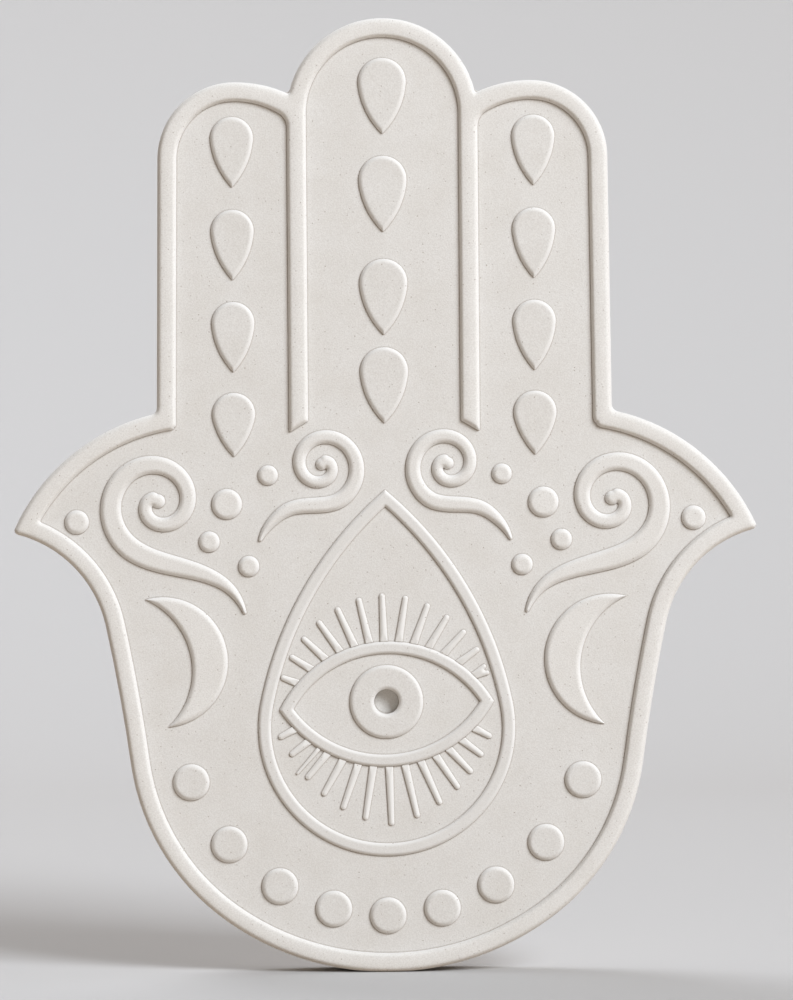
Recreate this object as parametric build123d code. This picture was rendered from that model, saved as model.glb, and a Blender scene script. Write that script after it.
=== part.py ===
from build123d import *
import math
import os

os.makedirs("parts", exist_ok=True)

# A hand-shaped wall plaque of white unglazed clay, built up from applied pieces.
# Flat drawing: x to the viewer's right of the middle line, y up from the lowest
# point of the palm, z = 0 on the front face of the slab. All sizes in millimetres.

# slab
slab_thickness = 8.0
back_edge_round = 0.8

# palm and thumbs, right half; each rise starts where the one before it ends
heel_half = 25.3
heel_rise = 8.1
waist_half = 40.3
waist_rise = 24.9
thumb_root_out = 3.8
thumb_root_rise = 21.8
thumb_out = 14.5
thumb_tip_rise = 14.6
thumb_top_radius = 32.1
thumb_tip_round = 0.7

# fingers
finger_inset = 4.5
finger_base_rise = 18.7
finger_base_round = 1.1
finger_taper = 0.4
side_finger_straight = 40.0
side_tip_radius = 12.0
side_shoulder_radius = 20.0
panel_shoulder_radius = 16.5
side_shoulder_sweep = 55.0
middle_half = 15.0
middle_lead = 9.9
notch_round = 0.7

# raised rim strips along the edge
rim_width = 3.0
rim_height = 1.0
rim_outer_round = 0.5
rim_inner_round = 0.7
rim_corner_round = 0.6
arch_leg_reach = 3.2
arch_leg_slant = 1.8

# hanging keyhole in the back
hang_drop = 25.0
keyhole_radius = 4.2
keyhole_lip = 2.0
keyhole_slot_half = 2.1
keyhole_travel = 9.0
keyhole_head_room = 0.4
keyhole_cavity = 3.2

# drops in three columns of four
drop_height = 0.7
drop_round = 0.4
drop_side_radius = 12.7
side_drop_radius = 3.38
side_drop_reach = 7.71
side_drop_top_gap = 2.45
side_drop_steps = (0.0, 14.6, 29.1, 43.4)
last_drop_reach = 6.7
middle_drop_radius = 3.78
middle_drop_reach = 8.18
middle_drop_top_gap = 3.25
middle_drop_steps = (0.0, 15.4, 31.6, 45.5)

# nine flat discs round the foot of the palm
disc_radius = 2.87
disc_height = 0.7
disc_round = 0.45
disc_rim_gap = 3.0
disc_arc_inset = 7.3
disc_angles = (0.0, 15.0, 31.0, 49.0, 69.0)

# pointed frame round the eye
frame_radius = 20.2
frame_reach = 37.4
frame_side_radius = 58.7
frame_band = 2.0
frame_height = 0.75
frame_round = 0.45
frame_disc_gap = 6.5

# eye
eye_lift = 3.45
eye_tilt = 2.0
eye_corner_gap = 1.3
lid_upper_bow = 10.07
lid_lower_bow = 9.6
lid_band = 1.9
lid_height = 0.8
lid_round = 0.45
iris_radius = 5.78
iris_lift = 0.6
iris_height = 0.7
iris_round = 0.4
pupil_radius = 1.95
pupil_depth = 2.0
pupil_lip_round = 0.3

# lashes: an even row above, its last one forked, and a less even row below with one thin lash
lash_count = 13
lash_inset = 3.0
lash_height = 0.5
lash_root_half = 0.62
lash_tip_half = 0.44
lash_round = 0.3
upper_lash_fan = 67.0
upper_lash_long = 7.6
upper_lash_short = 2.75
upper_lash_curve = 1.6
fork_turns = (50.0, 80.0)
fork_length = 2.5
fork_half = 0.36
lower_lash_fan = 61.0
lower_lash_long = 9.3
lower_lash_short = 2.9
lower_lash_curve = 1.25
lower_lash_places = (-1.05, -0.9, -0.69, -0.52, -0.35, -0.18, 0.0, 0.18, 0.36, 0.53, 0.68, 0.83, 0.98)
thin_lash_place = -0.785
thin_lash_turn = 43.5
thin_lash_length = 5.4
thin_lash_root_half = 0.36
thin_lash_tip_half = 0.2
thin_lash_round = 0.15

# crescents beside the eye
crescent_inset = 4.2
crescent_rise = 15.8
crescent_chord = 20.4
crescent_lean = 9.8
crescent_outer_bow = 11.2
crescent_inner_bow = 5.5
crescent_height = 0.75
crescent_round = 0.4

# scrolls: a spiral with an even growth per turn that runs out into a tapering tail,
# whose points are given from the spiral's end; a round bulb closes the middle
scroll_height = 0.8
scroll_round = 0.25
scroll_steps = 12
tail_steps = 5
tail_tip_half = 0.3
big_scroll_inset = 4.6
big_scroll_lift = 4.55
big_core = 0.17
big_spiral_growth = 5.55
big_spiral_from = -45.0
big_spiral_to = 410.0
big_band_start = 1.97
big_band_full = 3.5
big_tail_left = (9.19, 14.75, 18.75)
big_tail_down = (3.94, 6.0, 11.0)
big_taper_power = 2.1
big_bulb_radius = 1.1
big_bulb_lift = 0.35
small_scroll_x = 9.9
small_scroll_lift = 10.3
small_core = 0.1
small_spiral_growth = 3.9
small_spiral_from = -55.0
small_spiral_to = 420.0
small_band_start = 1.7
small_band_full = 2.5
small_tail_left = (8.24, 10.45, 12.85)
small_tail_down = (1.52, 3.0, 6.35)
small_taper_power = 3.0
small_bulb_radius = 0.95
small_bulb_lift = 0.25

# round studs: distance in from the thumb tip, then offsets from the big scroll's middle
stud_height = 0.8
stud_round = 0.5
thumb_stud_inset = 10.1
thumb_stud_lift = 1.7
thumb_stud_radius = 1.9
large_stud = (10.8, -0.2, 2.4)
middle_stud = (8.0, -6.1, 1.65)
low_stud = (14.2, -10.0, 1.65)
high_stud = (17.3, 4.3, 1.58)

# points of the outline
heel = Vector(heel_half, heel_rise)
waist = Vector(waist_half, heel.Y + waist_rise)
thumb_root = Vector(waist_half + thumb_root_out, waist.Y + thumb_root_rise)
thumb_tip = Vector(thumb_root.X + thumb_out, thumb_root.Y + thumb_tip_rise)
finger_half = waist_half - finger_inset
finger_base = Vector(finger_half, thumb_tip.Y + finger_base_rise)
finger_side = Vector(finger_half - finger_taper, finger_base.Y + side_finger_straight)
side_apex = Vector(finger_side.X - side_tip_radius, finger_side.Y + side_tip_radius)
middle_top = side_apex.Y + middle_lead
middle_centre = middle_top - middle_half
arch_inner = middle_half - rim_width
leg_outer = finger_base.Y - arch_leg_reach
leg_inner = leg_outer + arch_leg_slant
hang_y = middle_top - hang_drop - middle_half


def near(shape, x, y, reach=0.05):
    return [v for v in shape.vertices() if math.hypot(abs(v.X) - x, v.Y - y) < reach]


def raised(face, height, rounding):
    solid = extrude(face, height)
    return fillet(solid.edges().group_by(Axis.Z)[-1], rounding)


def teardrop(radius, reach, side_radius):
    # a circle and two side arcs that leave it smoothly and meet in a point above it
    between = side_radius - radius
    cy = (reach**2 - side_radius**2 + between**2) / (2 * reach)
    cx = math.sqrt(between**2 - cy**2)
    right = Vector(cx, -cy) * (radius / between)
    left = Vector(-right.X, right.Y)
    tip = Vector(0, reach)
    bow = (right - Vector(-cx, cy)).normalized() + (tip - Vector(-cx, cy)).normalized()
    belly = Vector(-cx, cy) + bow.normalized() * side_radius
    return make_face(
        [
            ThreePointArc(right, belly, tip),
            ThreePointArc(tip, Vector(-belly.X, belly.Y), left),
            ThreePointArc(left, Vector(0, -radius), right),
        ]
    )


def lens(half, upper_bow, lower_bow):
    return make_face(
        [
            ThreePointArc((half, 0), (0, upper_bow), (-half, 0)),
            ThreePointArc((-half, 0), (0, -lower_bow), (half, 0)),
        ]
    )


def scroll(core, growth, turn_from, turn_to, band_start, band_full, tail_left, tail_down, taper):
    # the spiral starts to the right of its middle, runs clockwise and leaves to the left;
    # the band widens along the spiral and narrows along the tail
    points = []
    for i in range(3 * scroll_steps + 1):
        turn = (turn_to - turn_from) * i / (3 * scroll_steps)
        radius = band_start / 2 + core + growth * turn / 360
        angle = math.radians(turn_from + turn)
        points.append(Vector(radius * math.cos(angle), -radius * math.sin(angle)))
    tail = [points[-1] - Vector(left, down) for left, down in zip(tail_left, tail_down)]
    path = Spline(*points, *tail)
    leave = path.param_at_point(points[-1])

    def edge_point(along, side):
        half = (band_start + (band_full - band_start) * along / leave) / 2
        if along > leave:
            share = (along - leave) / (1 - leave)
            half = tail_tip_half + (band_full / 2 - tail_tip_half) * (1 - share**taper)
        heading = (path % along).normalized()
        return (path @ along) + Vector(-heading.Y, heading.X) * (side * half)

    stops = [leave * i / scroll_steps for i in range(scroll_steps)]
    stops += [leave + (1 - leave) * i / tail_steps for i in range(tail_steps + 1)]
    left = [edge_point(stop, 1) for stop in stops]
    right = [edge_point(stop, -1) for stop in stops]
    edges, ends = [], []
    for side, spots in ((1, left), (-1, right)):
        headings = []
        for stop in stops:
            ahead = edge_point(min(stop + 0.002, 1), side)
            behind = edge_point(max(stop - 0.002, 0), side)
            headings.append((ahead - behind).normalized())
        edges += smooth_arcs(spots, headings)
        ends.append(headings[-1])
    head = (path @ 0) - (path % 0).normalized() * (band_start / 2)
    closing = math.radians(ends[0].get_angle(ends[1]) / 2)
    tip_reach = tail_tip_half * (1 - math.sin(closing)) / math.cos(closing)
    tip = (path @ 1) + (path % 1).normalized() * tip_reach
    edges.append(ThreePointArc(right[0], head, left[0]))
    edges.append(ThreePointArc(left[-1], tip, right[-1]))
    return make_face(edges)


def smooth_arcs(points, headings):
    # two arcs from each point to the next, which meet every heading smoothly
    arcs = []
    for start, end, out, into in zip(points, points[1:], headings, headings[1:]):
        chord = end - start
        bend = max(2 * (1 - out.dot(into)), 1e-9)
        push = chord.dot(out + into)
        reach = (math.sqrt(push**2 + bend * chord.dot(chord)) - push) / bend
        joint = (start + end + (out - into) * reach) / 2
        arcs.append(TangentArc(start, joint, tangent=out))
        arcs.append(TangentArc(joint, end, tangent=arcs[-1] % 1))
    return arcs


# outline of the palm with its thumbs, and of the block of side fingers that runs down into it
edge_1 = TangentArc((0, 0), heel, tangent=(1, 0))
edge_2 = TangentArc(heel, waist, tangent=edge_1 % 1)
edge_3 = TangentArc(waist, thumb_root, tangent=edge_2 % 1)
edge_4 = TangentArc(thumb_root, thumb_tip, tangent=edge_3 % 1)
thumb_arc = RadiusArc(thumb_tip, finger_base, -thumb_top_radius)
thumb_apex = thumb_arc.arc_center + Vector(0, thumb_top_radius)
edge_5 = ThreePointArc(thumb_tip, finger_base, thumb_apex)
edge_6 = Polyline(thumb_apex, (0, thumb_apex.Y), (0, 0))
half_palm = make_face([edge_1, edge_2, edge_3, edge_4, edge_5, edge_6])
palm = half_palm + mirror(half_palm, Plane.YZ)


def finger_block(shoulder_radius):
    sides = Polyline((0, thumb_root.Y), (finger_half, thumb_root.Y), finger_base, finger_side)
    tip = TangentArc(finger_side, side_apex, tangent=sides % 1)
    shoulder = JernArc(side_apex, tip % 1, shoulder_radius, side_shoulder_sweep)
    inside = Polyline(shoulder @ 1, (0, (shoulder @ 1).Y), (0, thumb_root.Y))
    half = make_face([sides, tip, shoulder, inside])
    return half + mirror(half, Plane.YZ)


palm_panel = offset(palm, -rim_width)
thumb_inner = palm_panel.vertices().sort_by(Axis.X)[-1]
panel = palm_panel + offset(finger_block(panel_shoulder_radius), -rim_width)
inner_corner = [v for v in panel.vertices() if abs(abs(v.X) - finger_half + rim_width) < 0.1]
inner_corner = [v for v in inner_corner if abs(v.Y - finger_base.Y + rim_width) < rim_width / 2]
panel = fillet(inner_corner, rim_corner_round)
blade = palm + finger_block(side_shoulder_radius)
blade = fillet(near(blade, thumb_tip.X, thumb_tip.Y), thumb_tip_round)
blade = fillet(near(blade, finger_base.X, finger_base.Y), finger_base_round)

stadium = make_face(
    [
        ThreePointArc((middle_half, middle_centre), (0, middle_top), (-middle_half, middle_centre)),
        Polyline(
            (-middle_half, middle_centre),
            (-middle_half, leg_outer),
            (middle_half, leg_outer),
            (middle_half, middle_centre),
        ),
    ]
)
outline = blade + stadium
notch = [v for v in outline.vertices() if middle_centre < v.Y < side_apex.Y and abs(v.X) < middle_half]
outline = fillet(notch, notch_round)

# slab with the keyhole in its back and the pupil's socket in its front
disc_row_y = rim_width + disc_rim_gap + disc_radius
frame_y = disc_row_y + disc_radius + frame_disc_gap + frame_radius
eye_y = frame_y + eye_lift
eye_spot = Pos(0, eye_y) * Rot(0, 0, eye_tilt)
slab = extrude(outline, -slab_thickness)
slab = fillet(slab.edges().group_by(Axis.Z)[0], back_edge_round)
back = Pos(0, hang_y, -slab_thickness)
slot = make_face(
    Polyline(
        (-keyhole_slot_half, 0),
        (keyhole_slot_half, 0),
        (keyhole_slot_half, keyhole_travel),
        (-keyhole_slot_half, keyhole_travel),
        close=True,
    )
)
slot = slot + Circle(keyhole_radius) + Pos(0, keyhole_travel) * Circle(keyhole_slot_half)
slab -= back * extrude(slot, keyhole_lip)
head_radius = keyhole_radius + keyhole_head_room
cavity = Circle(head_radius) + Pos(0, keyhole_travel) * Circle(head_radius)
cavity += Pos(0, keyhole_travel / 2) * Rectangle(2 * head_radius, keyhole_travel)
slab -= back * Pos(0, 0, keyhole_lip) * extrude(cavity, keyhole_cavity)
slab -= eye_spot * Pos(0, iris_lift) * extrude(Circle(pupil_radius), -pupil_depth)

pieces = {"hand_slab": slab}

# rim strips: the arch of the middle finger, the two sides and the palm
ring = blade - panel - stadium
reach_out = (thumb_tip - Vector(thumb_inner.X, thumb_inner.Y)).normalized()
mitre_out = thumb_tip + reach_out * rim_width
mitre_in = Vector(thumb_inner.X, thumb_inner.Y) - reach_out * rim_width
below = make_face(
    Polyline(
        (mitre_out.X, mitre_out.Y),
        (mitre_in.X, mitre_in.Y),
        (-mitre_in.X, mitre_in.Y),
        (-mitre_out.X, mitre_out.Y),
        (-mitre_out.X, -rim_width),
        (mitre_out.X, -rim_width),
        close=True,
    )
)
palm_strip = ring & below
side_strips = (ring - below).faces().sort_by(Axis.X)
arch = make_face(
    [
        ThreePointArc((middle_half, middle_centre), (0, middle_top), (-middle_half, middle_centre)),
        Polyline(
            (-middle_half, middle_centre),
            (-middle_half, leg_outer),
            (-arch_inner, leg_inner),
            (-arch_inner, middle_centre),
        ),
        ThreePointArc(
            (-arch_inner, middle_centre), (0, middle_centre + arch_inner), (arch_inner, middle_centre)
        ),
        Polyline(
            (arch_inner, middle_centre),
            (arch_inner, leg_inner),
            (middle_half, leg_outer),
            (middle_half, middle_centre),
        ),
    ]
)
outer_wires = blade.faces()[0].outer_wire()
inner_wires = panel.faces()[0].outer_wire()


def strip(face):
    solid = extrude(face, rim_height)
    for wire, rounding in ((outer_wires, rim_outer_round), (inner_wires, rim_inner_round)):
        top = solid.edges().group_by(Axis.Z)[-1]
        along = [e for e in top if wire.distance_to(Vertex((e @ 0.5).X, (e @ 0.5).Y, 0)) < 0.01]
        solid = fillet(along, rounding)
    return solid


pieces["rim_palm"] = strip(palm_strip)
pieces["rim_left"] = strip(side_strips[0])
pieces["rim_right"] = strip(side_strips[-1])
arch_solid = extrude(arch, rim_height)
arch_top = arch_solid.edges().group_by(Axis.Z)[-1]
arch_outer_edges = [
    e for e in arch_top if abs((e @ 0.5).X) > middle_half - 0.01 or (e @ 0.5).Y > middle_top - 0.01
]
arch_solid = fillet(arch_outer_edges, rim_outer_round)
arch_top = arch_solid.edges().group_by(Axis.Z)[-1]
arch_inner_edges = [
    e
    for e in arch_top
    if abs(abs((e @ 0.5).X) - arch_inner) < 0.01 or abs((e @ 0.5).Y - middle_centre - arch_inner) < 0.01
]
pieces["rim_middle"] = fillet(arch_inner_edges, rim_inner_round)

# drops, points down, in the middle of each finger's panel
side_column = (middle_half + finger_side.X - rim_width) / 2
side_row_top = side_apex.Y - rim_width - side_drop_top_gap - side_drop_radius
middle_row_top = middle_top - rim_width - middle_drop_top_gap - middle_drop_radius


def drop(radius, reach):
    face = teardrop(radius, reach, drop_side_radius)
    return Rot(0, 0, 180) * raised(face, drop_height, drop_round)


side_reaches = (side_drop_reach, side_drop_reach, side_drop_reach, last_drop_reach)
for row in range(4):
    y = side_row_top - side_drop_steps[row]
    side_drop = drop(side_drop_radius, side_reaches[row])
    pieces[f"drop_left_{row + 1}"] = Pos(-side_column, y) * side_drop
    pieces[f"drop_right_{row + 1}"] = Pos(side_column, y) * side_drop
    y = middle_row_top - middle_drop_steps[row]
    pieces[f"drop_middle_{row + 1}"] = Pos(0, y) * drop(middle_drop_radius, middle_drop_reach)

# discs on an arc round the foot of the palm
disc = raised(Circle(disc_radius), disc_height, disc_round)
disc_arc = waist_half - disc_arc_inset
for index, angle in enumerate(disc_angles):
    for side, name in ((-1, "left"), (1, "right")):
        x = side * disc_arc * math.sin(math.radians(angle))
        y = disc_row_y + disc_arc * (1 - math.cos(math.radians(angle)))
        pieces[f"disc_{name}_{index}" if index else "disc_middle"] = Pos(x, y) * disc

# frame and eye
frame_outer = teardrop(frame_radius, frame_reach, frame_side_radius)
frame_inner = offset(frame_outer, -frame_band, kind=Kind.INTERSECTION)
pieces["eye_frame"] = Pos(0, frame_y) * raised(frame_outer - frame_inner, frame_height, frame_round)

eye_half = frame_radius - frame_band - eye_corner_gap
eye_face = lens(eye_half, lid_upper_bow, lid_lower_bow)


def lid(bow):
    # the upper part of a ring whose ends lie on the line through the corners of the eye
    radius = (eye_half**2 + bow**2) / (2 * bow)
    ring = raised(Circle(radius) - Circle(radius - lid_band), lid_height, lid_round)
    above = Pos(0, 2 * eye_half) * Box(4 * eye_half, 4 * eye_half, 4 * lid_height)
    return Pos(0, bow - radius) * ring & above


pieces["lid_upper"] = eye_spot * lid(lid_upper_bow)
pieces["lid_lower"] = eye_spot * mirror(lid(lid_lower_bow), Plane.XZ)
iris = extrude(Circle(iris_radius) - Circle(pupil_radius), iris_height)
iris_top = iris.edges().group_by(Axis.Z)[-1].sort_by(SortBy.RADIUS)
iris = fillet(iris_top[-1], iris_round)
iris_top = iris.edges().group_by(Axis.Z)[-1].sort_by(SortBy.RADIUS)
iris = fillet(iris_top[0], pupil_lip_round)
pieces["iris"] = eye_spot * Pos(0, iris_lift) * iris


def lash(length, root_half, tip_half, rounding):
    # one straight tapered lash, pointing up from the lid's edge, with its root under the lid
    shoulder = length - tip_half
    sides = Polyline(
        (-tip_half, shoulder),
        (-root_half, -lid_band / 2),
        (root_half, -lid_band / 2),
        (tip_half, shoulder),
    )
    tip = ThreePointArc((tip_half, shoulder), (0, length), (-tip_half, shoulder))
    return raised(make_face([sides, tip]), lash_height, rounding)


def rooted(lash_solid, bow, place, turn):
    # a lash moved to its place along the lid, a share of the row's half width, and turned to the left
    radius = (eye_half**2 + bow**2) / (2 * bow)
    x = place * (eye_half - lash_inset)
    y = math.sqrt(radius**2 - x**2) - (radius - bow)
    return Pos(x, y) * Rot(0, 0, turn) * lash_solid


def lash_row(bow, places, fan, long, short, curve):
    # lashes that fan out along a lid, longest in the middle
    row = []
    for place in places:
        length = long - (long - short) * min(1.0, abs(place)) ** curve
        row.append(rooted(lash(length, lash_root_half, lash_tip_half, lash_round), bow, place, -fan * place))
    return row


lid_block = extrude(eye_face, lid_height)
upper_places = [2 * i / (lash_count - 1) - 1 for i in range(lash_count)]
upper_row = lash_row(
    lid_upper_bow, upper_places[:-1], upper_lash_fan, upper_lash_long, upper_lash_short, upper_lash_curve
)
fork_prong = lash(fork_length, lash_root_half, fork_half, lash_round)
prongs = [rooted(fork_prong, lid_upper_bow, upper_places[-1], -turn) for turn in fork_turns]
upper_row.append(prongs[0] + prongs[1])
pieces["lashes_upper"] = eye_spot * (Part() + [piece - lid_block for piece in upper_row])
lower_row = lash_row(
    lid_lower_bow, lower_lash_places, lower_lash_fan, lower_lash_long, lower_lash_short, lower_lash_curve
)
thin_lash = lash(thin_lash_length, thin_lash_root_half, thin_lash_tip_half, thin_lash_round)
lower_row.append(rooted(thin_lash, lid_lower_bow, thin_lash_place, thin_lash_turn))
lower_row = [mirror(piece, Plane.XZ) for piece in lower_row]
pieces["lashes_lower"] = eye_spot * (Part() + [piece - lid_block for piece in lower_row])

# crescents, horns outward
horn_top = Vector(0, crescent_chord / 2)
horn_low = Vector(0, -crescent_chord / 2)
moon = make_face(
    [
        ThreePointArc(horn_top, Vector(-crescent_outer_bow, 0), horn_low),
        ThreePointArc(horn_low, Vector(-crescent_inner_bow, 0), horn_top),
    ]
)
moon = raised(moon, crescent_height, crescent_round)
moon = Pos(waist_half - crescent_inset, waist.Y + crescent_rise) * Rot(0, 0, -crescent_lean) * moon
pieces["crescent_right"] = moon
pieces["crescent_left"] = mirror(moon, Plane.YZ)

# scrolls, drawn for one side and mirrored for the other
big_scroll_x = waist_half - big_scroll_inset
big_y = thumb_tip.Y + big_scroll_lift
big = scroll(
    big_core,
    big_spiral_growth,
    big_spiral_from,
    big_spiral_to,
    big_band_start,
    big_band_full,
    big_tail_left,
    big_tail_down,
    big_taper_power,
)
big_bulb = raised(Circle(big_bulb_radius), scroll_height, scroll_round)
big = raised(big, scroll_height, scroll_round) + Pos(0, big_bulb_lift) * big_bulb
big = Pos(big_scroll_x, big_y) * big
pieces["scroll_big_right"] = big
pieces["scroll_big_left"] = mirror(big, Plane.YZ)
small = scroll(
    small_core,
    small_spiral_growth,
    small_spiral_from,
    small_spiral_to,
    small_band_start,
    small_band_full,
    small_tail_left,
    small_tail_down,
    small_taper_power,
)
small_bulb = raised(Circle(small_bulb_radius), scroll_height, scroll_round)
small = raised(small, scroll_height, scroll_round) + Pos(0, small_bulb_lift) * small_bulb
small = Pos(-small_scroll_x, thumb_tip.Y + small_scroll_lift) * small
pieces["scroll_small_left"] = small
pieces["scroll_small_right"] = mirror(small, Plane.YZ)

# studs
studs = {
    "thumb": (thumb_tip.X - thumb_stud_inset, thumb_tip.Y + thumb_stud_lift, thumb_stud_radius)
}
for name, stud in (
    ("large", large_stud),
    ("middle", middle_stud),
    ("low", low_stud),
    ("high", high_stud),
):
    studs[name] = (big_scroll_x - stud[0], big_y + stud[1], stud[2])
for name, (x, y, radius) in studs.items():
    stud = raised(Circle(radius), stud_height, stud_round)
    pieces[f"stud_{name}_left"] = Pos(-x, y) * stud
    pieces[f"stud_{name}_right"] = Pos(x, y) * stud

# stand the plaque up: back face on Y = 0, keyhole at the origin
for name, piece in pieces.items():
    placed = Plane.XZ.offset(slab_thickness).location * Pos(0, -hang_y) * piece
    placed.label = name
    export_step(placed, f"parts/{name}.step")
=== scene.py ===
import math

import bpy
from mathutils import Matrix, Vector, kdtree


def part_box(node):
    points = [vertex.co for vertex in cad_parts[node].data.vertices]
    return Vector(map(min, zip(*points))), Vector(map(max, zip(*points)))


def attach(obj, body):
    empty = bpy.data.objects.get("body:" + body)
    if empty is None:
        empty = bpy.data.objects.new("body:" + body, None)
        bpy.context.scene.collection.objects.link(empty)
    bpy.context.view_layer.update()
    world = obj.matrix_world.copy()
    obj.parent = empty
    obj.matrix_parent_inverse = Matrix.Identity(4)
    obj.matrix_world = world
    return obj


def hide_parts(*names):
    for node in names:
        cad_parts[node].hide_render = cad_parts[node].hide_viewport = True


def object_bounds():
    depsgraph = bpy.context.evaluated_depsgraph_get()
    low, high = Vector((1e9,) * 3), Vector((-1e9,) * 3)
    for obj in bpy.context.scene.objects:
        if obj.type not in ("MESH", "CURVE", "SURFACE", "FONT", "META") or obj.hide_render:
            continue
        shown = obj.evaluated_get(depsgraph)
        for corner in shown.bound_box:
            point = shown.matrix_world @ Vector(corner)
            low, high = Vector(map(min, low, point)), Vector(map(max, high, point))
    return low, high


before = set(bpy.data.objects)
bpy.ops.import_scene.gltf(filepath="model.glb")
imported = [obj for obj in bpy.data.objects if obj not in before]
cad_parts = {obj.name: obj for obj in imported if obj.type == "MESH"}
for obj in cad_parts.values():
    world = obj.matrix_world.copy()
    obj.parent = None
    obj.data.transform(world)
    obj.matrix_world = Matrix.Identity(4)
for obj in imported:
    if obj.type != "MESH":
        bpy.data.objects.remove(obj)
cadLow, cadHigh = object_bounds()
mm = 0.001
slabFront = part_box("hand_slab")[0].y  # the slab's front face; the relief stands towards -Y
footSink = 0.9 * mm  # how far the feet of the raised forms are carried into the slab
footBand = (0.25 * mm, 0.7 * mm)  # depth behind the slab's face at which their outline is read
footGap = 0.02 * mm  # points this close to the slab's face belong to a foot
weldGap = 0.001 * mm  # CAD corners closer than this are one
crowdGap = 0.03 * mm  # points that the wear has pushed closer than this become one
cutGap = 0.0001 * mm  # points this close to a cut lie on it
crispAngle = math.radians(50)  # edges that turn more than this stay crisp


def toObjectMode():
    if bpy.context.mode != "OBJECT":
        bpy.ops.object.mode_set(mode="OBJECT")


def pickOnly(piece):
    toObjectMode()
    bpy.ops.object.select_all(action="DESELECT")
    piece.select_set(True)
    bpy.context.view_layer.objects.active = piece


def editAll(piece):
    # edit mode with everything selected
    pickOnly(piece)
    bpy.ops.object.mode_set(mode="EDIT")
    bpy.ops.mesh.select_all(action="SELECT")


def pickPart(piece, kind, test):
    # edit mode with only the vertices, or the edges, whose points all pass the test
    editAll(piece)
    bpy.ops.mesh.select_mode(type=kind)
    bpy.ops.mesh.select_all(action="DESELECT")
    toObjectMode()
    verts = piece.data.vertices
    if kind == "VERT":
        for vert in verts:
            vert.select = test(vert.co)
    else:
        for edge in piece.data.edges:
            edge.select = all(test(verts[i].co) for i in edge.vertices)
    bpy.ops.object.mode_set(mode="EDIT")


def applyAll(piece):
    pickOnly(piece)
    for mod in list(piece.modifiers):
        bpy.ops.object.modifier_apply(modifier=mod.name)


def joinInto(piece, others):
    pickOnly(piece)
    for other in others:
        other.select_set(True)
    bpy.ops.object.join()


def takeCopy(nodeNames, pieceName):
    # a welded copy of one or more CAD solids, free to be reshaped
    copies = []
    for nodeName in nodeNames:
        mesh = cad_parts[nodeName].data.copy()
        copy = bpy.data.objects.new(pieceName, mesh)
        bpy.context.scene.collection.objects.link(copy)
        copies.append(copy)
    piece = copies[0]
    if len(copies) > 1:
        joinInto(piece, copies[1:])
    piece.name = pieceName
    piece.data.name = pieceName
    piece.data.materials.clear()
    editAll(piece)
    bpy.ops.mesh.remove_doubles(threshold=weldGap)
    bpy.ops.mesh.customdata_custom_splitnormals_clear()
    toObjectMode()
    return piece


def sinkFoot(piece):
    # carries the feet of the walls down into the slab, so that the skin joins them up
    pickPart(piece, "VERT", lambda co: co.y > slabFront - footGap)
    bpy.ops.transform.translate(value=(0, footSink, 0))
    toObjectMode()


def evenSkin(piece, voxel):
    # one closed skin of even squares over all the solids in the piece, eased once
    skin = piece.modifiers.new("skin", "REMESH")
    skin.mode = "VOXEL"
    skin.voxel_size = voxel
    skin.use_smooth_shade = True
    piece.modifiers.new("ease", "SMOOTH")
    applyAll(piece)


def footVerts(piece):
    # the walls behind the slab's face, which trace the outline
    low, high = (slabFront + depth for depth in footBand)
    return [vert for vert in piece.data.vertices if low < vert.co.y < high]


def outlineTree(verts):
    tree = kdtree.KDTree(len(verts))
    for i, vert in enumerate(verts):
        tree.insert((vert.co.x, 0, vert.co.z), i)
    tree.balance()
    return tree


def wearEdges(piece, slopes, height):
    # the top comes down to each outline in a worn slope: its width, how full it is, its height at the foot
    for vert in piece.data.vertices:
        rise = slabFront - vert.co.y
        if rise <= 0:
            continue
        limit = height
        for tree, width, power, foot in slopes:
            gap = tree.find((vert.co.x, 0, vert.co.z))[2]
            share = min(1, gap / width)
            limit = min(limit, foot + (height - foot) * (1 - (1 - share) ** power))
        if rise > limit:
            vert.co.y = slabFront - limit
    editAll(piece)
    bpy.ops.mesh.remove_doubles(threshold=crowdGap)
    toObjectMode()


def rubDown(piece, rounds):
    # rounds the tops over; seen from the front the outline stays
    soft = piece.modifiers.new("soft", "SMOOTH")
    soft.iterations = rounds
    soft.use_x = soft.use_z = False
    applyAll(piece)


def trimFoot(piece):
    # cuts the piece off level with the slab's face
    editAll(piece)
    face = {"plane_co": (0, slabFront, 0), "plane_no": (0, 1, 0)}
    bpy.ops.mesh.bisect(**face, use_fill=True, clear_outer=True, threshold=cutGap)
    toObjectMode()


def thin(piece, triangles):
    # fewer triangles where the skin is flat
    count = sum(len(poly.vertices) - 2 for poly in piece.data.polygons)
    if count > triangles:
        less = piece.modifiers.new("less", "DECIMATE")
        less.ratio = triangles / count
        applyAll(piece)


def settle(piece, material, *nodeNames):
    pickOnly(piece)
    bpy.ops.object.shade_smooth_by_angle(angle=crispAngle)
    piece.data.materials.clear()
    piece.data.materials.append(material)
    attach(piece, "root")
    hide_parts(*nodeNames)


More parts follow.
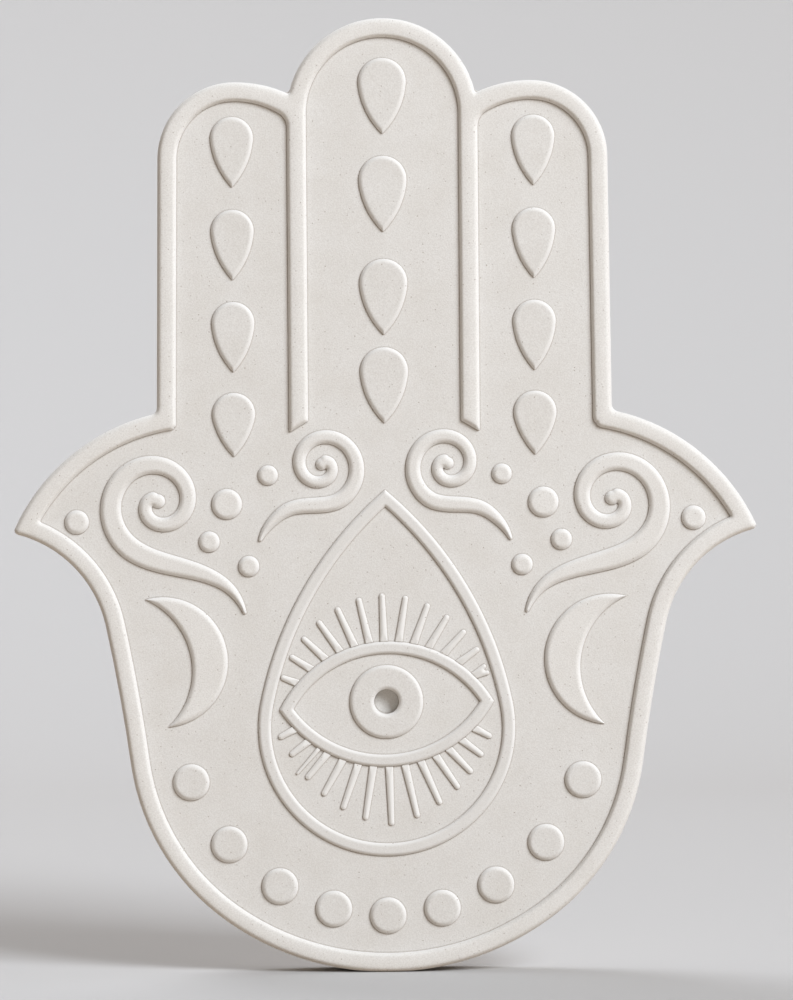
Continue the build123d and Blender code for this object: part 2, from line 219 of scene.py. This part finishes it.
# bisque: matt white clay with fine grain, faint clouding, small dark specks and pinholes, and brown
# painted shade darkening its creases
bisque = {
    "pale": (0.785, 0.776, 0.757, 1),
    "warm": (0.748, 0.733, 0.705, 1),
    "cloudScale": 150,
    "cloudDetail": 5,
    "cloudRange": (0.3, 0.66),
    "grain": (0.35, 0.31, 0.27, 1),
    "grainScale": 4600,
    "grainDetail": 3,
    "grainRange": (0.34, 0.66),
    "grainShare": 0.24,
    "noiseRoughness": 0.6,
    "worn": (0.765, 0.757, 0.742, 1),  # edges, a little duller than the flats
    "wornReach": 0.6 * mm,
    "wornRange": (0.5, 0.9),
    "wornShare": 1.0,
    "creaseShade": (0.18, 0.115, 0.06, 1),  # painted shade: brown darkening in the creases at the feet of the forms, read from ambient occlusion
    "creaseShadeReach": 0.26 * mm,
    "creaseShadeRange": (0.4, 0.95),
    "creaseShadeShare": 0.64,
    "creaseSamples": 6,
    "speck": (0.30, 0.245, 0.20, 1),
    "speckScale": 1100,
    "speckSize": (0.05, 0.14),
    "speckBare": 0.1,  # share of the cells that have none
    "speckShare": 0.85,
    "pitScale": 800,
    "pitSize": (0.04, 0.12),
    "pitBare": 0.2,
    "pitShare": 0.35,
    "pitDepth": 1.6,
    "roughRange": (0.3, 0.7),
    "roughness": (0.74, 0.86),
    "specular": 0.3,
    "bumpStrength": 0.6,
    "bumpDepth": 0.035 * mm,
}


def makeBisque(name, values):
    material = bpy.data.materials.new(name)
    material.use_nodes = True
    nodes, links = material.node_tree.nodes, material.node_tree.links
    shader = nodes["Principled BSDF"]
    shader.inputs["Specular IOR Level"].default_value = values["specular"]
    place = nodes.new("ShaderNodeTexCoord")

    def noise(scale, detail):
        node = nodes.new("ShaderNodeTexNoise")
        node.inputs["Scale"].default_value = scale
        node.inputs["Detail"].default_value = detail
        node.inputs["Roughness"].default_value = values["noiseRoughness"]
        links.new(place.outputs["Object"], node.inputs["Vector"])
        return node.outputs["Fac"]

    def remap(value, span, start, end):
        node = nodes.new("ShaderNodeMapRange")
        for socket, number in zip(("From Min", "From Max", "To Min", "To Max"), (*span, start, end)):
            node.inputs[socket].default_value = number
        links.new(value, node.inputs["Value"])
        return node.outputs["Result"]

    def combine(operation, a, b):
        node = nodes.new("ShaderNodeMath")
        node.operation = operation
        for i, value in enumerate((a, b)):
            if isinstance(value, float):
                node.inputs[i].default_value = value
            else:
                links.new(value, node.inputs[i])
        return node.outputs["Value"]

    def dots(scale, size, bare):
        # round spots in some of the cells, each with its own strength
        cells = nodes.new("ShaderNodeTexVoronoi")
        cells.inputs["Scale"].default_value = scale
        links.new(place.outputs["Object"], cells.inputs["Vector"])
        split = nodes.new("ShaderNodeSeparateColor")
        links.new(cells.outputs["Color"], split.inputs["Color"])
        spot = remap(cells.outputs["Distance"], size, 1.0, 0.0)
        return combine("MULTIPLY", spot, remap(split.outputs["Red"], (bare, 1.0), 0.0, 1.0))

    def blend(factor, a, b):
        node = nodes.new("ShaderNodeMix")
        node.data_type = "RGBA"
        links.new(factor, node.inputs["Factor"])
        for socket, value in (("A", a), ("B", b)):
            if isinstance(value, tuple):
                node.inputs[socket].default_value = value
            else:
                links.new(value, node.inputs[socket])
        return node.outputs["Result"]

    def crease(reach, inside):
        # how far the surface is hemmed in by others near it, or how far it stands out of its own body
        near = nodes.new("ShaderNodeAmbientOcclusion")
        near.samples = values["creaseSamples"]
        near.inside = inside
        near.inputs["Distance"].default_value = reach
        return near.outputs["AO"]

    clouds = remap(noise(values["cloudScale"], values["cloudDetail"]), values["cloudRange"], 0.0, 1.0)
    grain = noise(values["grainScale"], values["grainDetail"])
    dust = remap(grain, values["grainRange"], values["grainShare"], 0.0)
    edges = remap(crease(values["wornReach"], True), values["wornRange"], values["wornShare"], 0.0)
    # painted shade: creases hemmed in by nearby surfaces are darkened towards brown
    feet = remap(crease(values["creaseShadeReach"], False), values["creaseShadeRange"], values["creaseShadeShare"], 0.0)
    specks = dots(values["speckScale"], values["speckSize"], values["speckBare"])
    pits = dots(values["pitScale"], values["pitSize"], values["pitBare"])

    color = blend(clouds, values["warm"], values["pale"])
    color = blend(dust, color, values["grain"])
    color = blend(edges, color, values["worn"])
    # the painted crease shade is laid into the colour here
    color = blend(feet, color, values["creaseShade"])
    color = blend(combine("MULTIPLY", specks, values["speckShare"]), color, values["speck"])
    color = blend(combine("MULTIPLY", pits, values["pitShare"]), color, values["speck"])
    links.new(color, shader.inputs["Base Color"])
    links.new(remap(grain, values["roughRange"], *values["roughness"]), shader.inputs["Roughness"])

    bump = nodes.new("ShaderNodeBump")
    bump.inputs["Strength"].default_value = values["bumpStrength"]
    bump.inputs["Distance"].default_value = values["bumpDepth"]
    pitted = combine("SUBTRACT", grain, combine("MULTIPLY", pits, values["pitDepth"]))
    links.new(pitted, bump.inputs["Height"])
    links.new(bump.outputs["Normal"], shader.inputs["Normal"])
    return material


rubbed = {  # high places, paler from handling
    "pale": (0.828, 0.818, 0.797, 1),
    "warm": (0.793, 0.779, 0.752, 1),
    "worn": (0.77, 0.763, 0.75, 1),
}
coiled = {"worn": bisque["pale"]}  # thin coils, the same tone at their edges
clay = makeBisque("bisque", bisque)
rubbedClay = makeBisque("bisque_rubbed", {**bisque, **rubbed})
coilClay = makeBisque("bisque_coil", {**bisque, **coiled})
print("bisque ready")

# slab: the CAD solid itself in clay
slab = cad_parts["hand_slab"]
slab.data.materials.clear()
slab.data.materials.append(clay)
print("slab ready")

# rim: its four strips become one worn band
rimBand = {
    "strips": ("rim_palm", "rim_left", "rim_right", "rim_middle"),
    "share": 0.88,  # of the strips' full height
    "probe": 0.15 * mm,  # height above the slab at which the walls are looked for
    "beside": 1.0 * mm,  # how far off a wall the slab is looked for
    "voxel": 0.19 * mm,
    "outerSlope": (0.8 * mm, 2.0, 0.1 * mm),  # width, fullness, height at the foot
    "innerSlope": (0.68 * mm, 2.0, 0.2 * mm),
    "dome": (1.5 * mm, 2.0, 0.72 * mm),
    "rounds": 3,
    "triangles": 190000,
}
fingerTop = {
    "radius": 2.8 * mm,
    "bite": 0.5 * mm,  # how far the fill runs into the strips
    "facets": 96,
    "cutLength": 20 * mm,
}
fingerFoot = {
    "leftRadius": 0.8 * mm,
    "rightRadius": 2.0 * mm,
    "past": 2.5 * mm,  # how far beyond the finger's wall the palm's wall is looked for
    "still": 0.3,  # share of the radius, round its centre, where nothing moves
    "slack": 1.2,  # points up to this much further out than the sharp corner are drawn in with it
}
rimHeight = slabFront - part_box("rim_palm")[0].y


def findWall(piece, x, z, direction):
    # the first wall in that direction, and the way it faces
    bpy.context.view_layer.update()
    start = (x, slabFront - rimBand["probe"], z)
    return piece.ray_cast(start, direction)[1:3]


def fillTop(piece, side, values):
    # clay smoothed into the corner where a side finger's strip runs into the middle one
    radius = values["radius"]
    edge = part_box("rim_middle")[1].x
    wall, normal = findWall(piece, side * (edge + radius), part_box("drop_right_1")[0].z, (0, 0, 1))
    centre = Vector((wall.x, slabFront, wall.z - radius / abs(normal.z)))
    touch = centre - normal * radius  # where the round meets the side finger's strip
    ends = sorted((side * (edge - values["bite"]), touch.x))
    low = Vector((ends[0], slabFront - rimHeight, centre.z))
    high = Vector((ends[1], slabFront + footSink, touch.z + values["bite"]))
    bpy.ops.mesh.primitive_cube_add(size=1, location=(low + high) / 2, scale=high - low)
    fillet = bpy.context.object
    bpy.ops.mesh.primitive_cylinder_add(
        vertices=values["facets"],
        radius=radius,
        depth=values["cutLength"],
        location=centre,
        rotation=(math.radians(90), 0, 0),
    )
    cutter = bpy.context.object
    cut = fillet.modifiers.new("cut", "BOOLEAN")
    cut.object = cutter
    cut.operation = "DIFFERENCE"
    applyAll(fillet)
    pickOnly(cutter)
    bpy.ops.object.delete()
    pickOnly(fillet)
    bpy.ops.object.transform_apply(location=True, rotation=True, scale=True)
    return fillet


def roundFoot(piece, side, radius, values):
    # the strip's inner corner at the foot of a side finger, drawn in to a round
    low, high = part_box("drop_right_4")
    wallA, normalA = findWall(piece, side * high.x, high.z, (side, 0, 0))
    wallB, normalB = findWall(piece, wallA.x + side * values["past"], low.z, (0, 0, 1))
    toA, toB = normalA.xz.normalized(), normalB.xz.normalized()
    # the round's centre lies one radius inside both walls
    reachA, reachB = wallA.xz.dot(toA) - radius, wallB.xz.dot(toB) - radius
    across = toA.x * toB.y - toA.y * toB.x
    centre = Vector((reachA * toB.y - reachB * toA.y, toA.x * reachB - toB.x * reachA)) / across
    outward = (toA + toB).normalized()
    spread = outward.angle(toA)
    still = values["still"] * radius
    for vert in piece.data.vertices:
        arm = vert.co.xz - centre
        if arm.length < still or arm.angle(outward) >= spread:
            continue
        sharp = radius / math.cos(spread - arm.angle(outward))  # the corner's reach before it is rounded
        if arm.length < sharp * values["slack"]:
            arm *= (still + (arm.length - still) * (radius - still) / (sharp - still)) / arm.length
            vert.co.x, vert.co.z = centre + arm
    piece.data.update()


def splitOutline(piece):
    # the foot's points on the rim's outer side, and those towards the panel
    outer, inner = [], []
    wellInFront = 2 * cadLow.y
    for vert in footVerts(piece):
        beside = vert.co + vert.normal * rimBand["beside"]  # over the slab only beside an inner wall
        overSlab = slab.ray_cast((beside.x, wellInFront, beside.z), (0, 1, 0))[0]
        (inner if overSlab else outer).append(vert)
    return outlineTree(outer), outlineTree(inner)


rim = takeCopy(rimBand["strips"], "raised_rim")
sinkFoot(rim)
joinInto(rim, [fillTop(rim, side, fingerTop) for side in (-1, 1)])
evenSkin(rim, rimBand["voxel"])
roundFoot(rim, -1, fingerFoot["leftRadius"], fingerFoot)
roundFoot(rim, 1, fingerFoot["rightRadius"], fingerFoot)
outerTree, innerTree = splitOutline(rim)
rimSlopes = (
    (outerTree, *rimBand["outerSlope"]),
    (innerTree, *rimBand["innerSlope"]),
    (outerTree, *rimBand["dome"]),
    (innerTree, *rimBand["dome"]),
)
wearEdges(rim, rimSlopes, rimHeight * rimBand["share"])
rubDown(rim, rimBand["rounds"])
trimFoot(rim)
thin(rim, rimBand["triangles"])
settle(rim, rubbedClay, *rimBand["strips"])
print("rim ready", len(rim.data.polygons))

# relief: every applied form gets worn edges and is cut off at the slab's face
relief = {
    "voxel": 0.11 * mm,
    "power": 2.0,  # how full the worn slope is
    "foot": 0.18 * mm,  # height that is left at the outline
    "rounds": 2,
}
reliefKinds = {  # width of the worn slope, share of the solid's height that is left, finish
    "drop": {"slope": 0.68 * mm, "share": 0.85, "finish": clay},
    "disc": {"slope": 0.7 * mm, "share": 0.9, "finish": clay},
    "stud": {"slope": 0.75 * mm, "share": 0.8, "finish": rubbedClay},
    "crescent": {"slope": 0.75 * mm, "share": 0.88, "finish": rubbedClay},
    "scroll": {"slope": 0.8 * mm, "share": 0.85, "finish": rubbedClay},
    "eye": {"slope": 0.52 * mm, "share": 0.7, "finish": clay},
    "iris": {"slope": 0.65 * mm, "share": 0.85, "finish": clay},
}


def makeForm(pieceName, nodeNames, values, dips=()):
    values = {**relief, **values}
    form = takeCopy(nodeNames, pieceName)
    height = slabFront - min(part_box(nodeName)[0].y for nodeName in nodeNames)
    sinkFoot(form)
    evenSkin(form, values["voxel"])
    tree = outlineTree(footVerts(form))
    slope = (tree, values["slope"], values["power"], values["foot"])
    wearEdges(form, (slope, *dips), height * values["share"])
    rubDown(form, values["rounds"])
    trimFoot(form)
    settle(form, values["finish"], *nodeNames)
    return tree


for nodeName in sorted(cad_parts):
    kind = nodeName.split("_")[0]
    if kind in reliefKinds:
        makeForm(nodeName.replace("_", "-"), (nodeName,), reliefKinds[kind])
print("relief ready")

# eyelids: the two halves run together at the corners
lids = {"slope": 0.5 * mm, "share": 0.68, "finish": clay}
lidTree = makeForm("eyelids", ("lid_upper", "lid_lower"), lids)
print("eyelids ready")

# lashes: rolled rods that dip to the lid at their roots
lashes = {"slope": 0.6 * mm, "share": 0.8, "finish": coilClay, "voxel": 0.105 * mm, "rounds": 1}
lashDip = (1.5 * mm, 1.5, 0.22 * mm)  # width, fullness and height at the lid
for nodeName in ("lashes_upper", "lashes_lower"):
    makeForm(nodeName.replace("_", "-"), (nodeName,), lashes, ((lidTree, *lashDip),))
print("lashes ready")

# stage: a floor that sweeps up into a backdrop
stage = {
    "floor": (0.53, 0.53, 0.535, 1),
    "bounce": (0.45, 0.38, 0.31, 1),
    "roughness": 0.9,
    "depth": 0.75,
    "front": 1.4,
    "half": 2.2,
    "height": 1.8,
    "sweep": 0.35,
    "segments": 24,
    "edgeGap": 10 * mm,  # points this close to the back edge belong to it
}


def makeFloorPaint(values):
    # pale to look at, darker and warmer in the light that it throws back
    paint = bpy.data.materials.new("floor")
    paint.use_nodes = True
    nodes, links = paint.node_tree.nodes, paint.node_tree.links
    shader = nodes["Principled BSDF"]
    shader.inputs["Roughness"].default_value = values["roughness"]
    path = nodes.new("ShaderNodeLightPath")
    seen = path.outputs["Is Camera Ray"]
    for ray in ("Is Glossy Ray", "Is Transmission Ray"):
        either = nodes.new("ShaderNodeMath")
        either.operation = "MAXIMUM"
        links.new(seen, either.inputs[0])
        links.new(path.outputs[ray], either.inputs[1])
        seen = either.outputs["Value"]
    tone = nodes.new("ShaderNodeMix")
    tone.data_type = "RGBA"
    tone.inputs["A"].default_value = values["bounce"]
    tone.inputs["B"].default_value = values["floor"]
    links.new(seen, tone.inputs["Factor"])
    links.new(tone.outputs["Result"], shader.inputs["Base Color"])
    return paint


def makeStage(values):
    toObjectMode()
    bpy.ops.object.select_all(action="DESELECT")
    bpy.ops.mesh.primitive_plane_add(size=2, location=(0, 0, 0))
    floor = bpy.context.object
    floor.name = "floor"
    editAll(floor)
    span = values["front"] + values["depth"]
    bpy.ops.transform.resize(value=(values["half"], span / 2, 1))
    bpy.ops.transform.translate(value=(0, values["depth"] - span / 2, cadLow.z))
    # the back edge is raised into a wall, and the corner swept round
    backEdge = values["depth"] - values["edgeGap"]
    pickPart(floor, "EDGE", lambda co: co.y > backEdge)
    bpy.ops.mesh.extrude_region_move(TRANSFORM_OT_translate={"value": (0, 0, values["height"])})
    pickPart(floor, "EDGE", lambda co: co.y > backEdge and co.z < cadLow.z + values["edgeGap"])
    bpy.ops.mesh.bevel(offset=values["sweep"], segments=values["segments"], affect="EDGES")
    toObjectMode()
    bpy.ops.object.shade_smooth()
    floor.data.materials.append(makeFloorPaint(values))


makeStage(stage)
print("stage ready")

# light: a large cool key from the upper right, faint fill, a lamp for the back, warm sky
lamps = {
    "key": {"place": (1.08, -1.14, 1.0), "size": 0.9, "power": 38.2, "color": (0.97, 1.01, 1.06)},
    "fill": {"place": (-0.9, -0.9, 0.1), "size": 1.0, "power": 0.25, "color": (1.0, 0.9, 0.8)},
    "back": {"place": (-0.35, 0.5, 0.75), "size": 0.6, "power": 5.0, "color": (0.97, 1.0, 1.05)},
}
sky = {"color": (1.0, 0.87, 0.74, 1), "strength": 0.225}
middle = (cadLow + cadHigh) / 2


def addLamp(name, values):
    bpy.ops.object.light_add(type="AREA", location=middle + Vector(values["place"]))
    lamp = bpy.context.object
    lamp.name = name
    lamp.data.size = values["size"]
    lamp.data.energy = values["power"]
    lamp.data.color = values["color"]
    lamp.rotation_mode = "QUATERNION"
    lamp.rotation_quaternion = (middle - lamp.location).to_track_quat("-Z", "Y")


for name, values in lamps.items():
    addLamp(name, values)
world = bpy.data.worlds.new("studio")
bpy.context.scene.world = world
world.use_nodes = True
glow = world.node_tree.nodes["Background"]
glow.inputs["Color"].default_value = sky["color"]
glow.inputs["Strength"].default_value = sky["strength"]
print("light ready")

# camera: straight at the front, as far off as its lens needs for the frame's height
shot = {
    "lens": 100.0,
    "sensor": 24.0,
    "frameHeight": 157.3 * mm,
    "x": 1.8 * mm,
    "z": -35.8 * mm,
    "roll": -0.45,  # degrees
    "clipStart": 10 * mm,
}
bpy.ops.object.camera_add()
camera = bpy.context.object
camera.data.sensor_fit = "VERTICAL"
camera.data.sensor_height = shot["sensor"]
camera.data.lens = shot["lens"]
camera.data.clip_start = shot["clipStart"]
distance = shot["frameHeight"] * shot["lens"] / shot["sensor"]
camera.location = (shot["x"], slabFront - distance, shot["z"])
camera.rotation_euler = (math.radians(90), math.radians(-shot["roll"]), 0)
bpy.context.scene.camera = camera
bpy.context.scene.view_settings.view_transform = "Standard"
print("camera ready")
